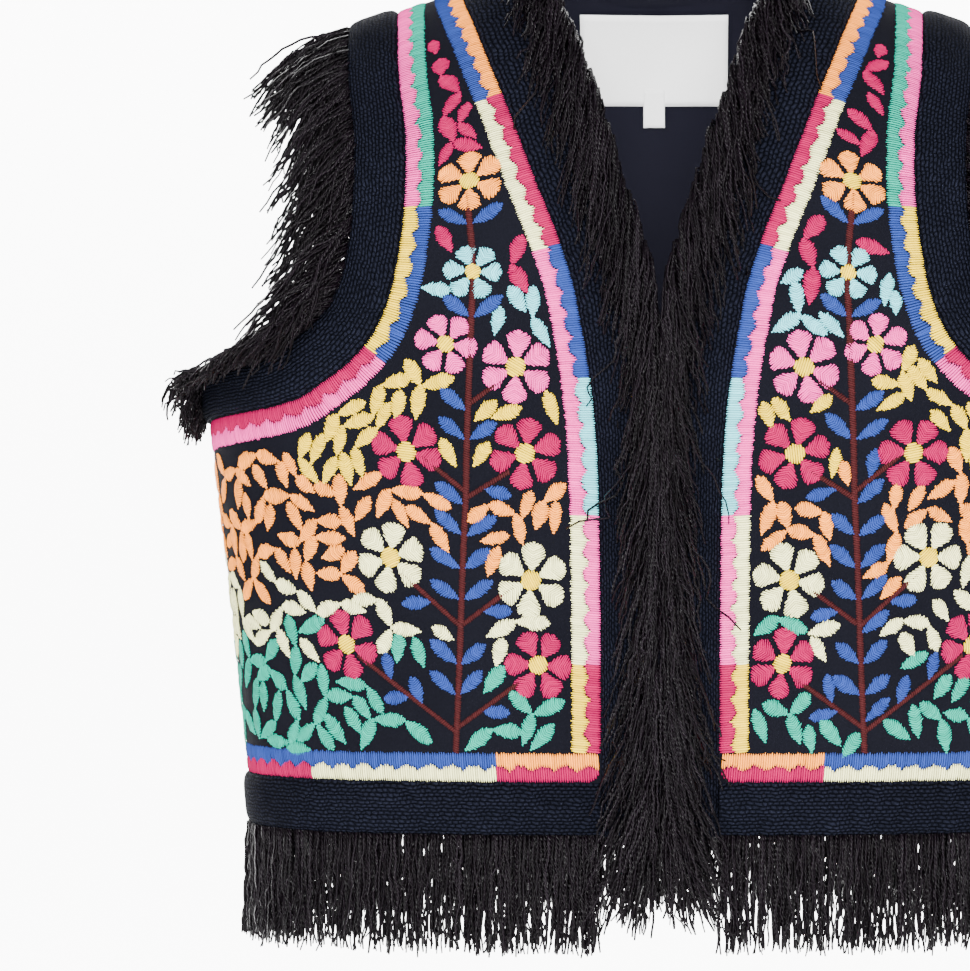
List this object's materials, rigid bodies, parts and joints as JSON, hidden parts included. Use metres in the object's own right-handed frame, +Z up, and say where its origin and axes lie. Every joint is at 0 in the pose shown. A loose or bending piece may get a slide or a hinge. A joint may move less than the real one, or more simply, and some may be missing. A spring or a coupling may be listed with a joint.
{
  "type": "fringed folk dress vest",
  "caption": "Cropped sleeveless open-front vest in dark embroidered cloth, with bright stitched borders, a coarse woven band on every edge and long fringe.",
  "frame": {"origin": "between the shoulders, on the line of the shoulder seams at the neck, where the wearer's shoulders hold the vest", "axes": "+Z up; the front faces -Y and the wearer's left is +X"},
  "size_m": [0.4872, 0.2299, 0.4753],
  "materials": {
    "ground": "matt navy cloth with satin stitch embroidery",
    "band": "coarse matt navy weave",
    "fringe": "crinkled black yarn with a soft sheen",
    "lining": "smooth navy lining",
    "label": "woven white label",
    "thread": "satin embroidery thread in several colours"
  },
  "bodies": {
    "root": {"front_right": "ground", "front_left": "ground", "back": "ground", "back_lining": "lining", "armhole_band_right": "band", "armhole_band_left": "band", "front_band_right": "band", "front_band_left": "band", "hem_band": "band", "neck_band": "band", "fringe_armhole_right": "fringe", "fringe_armhole_left": "fringe", "fringe_front_right": "fringe", "fringe_front_left": "fringe", "fringe_hem": "fringe", "fringe_neck": "fringe", "label": "label", "size_tag": "label"}
  },
  "joints": []
}
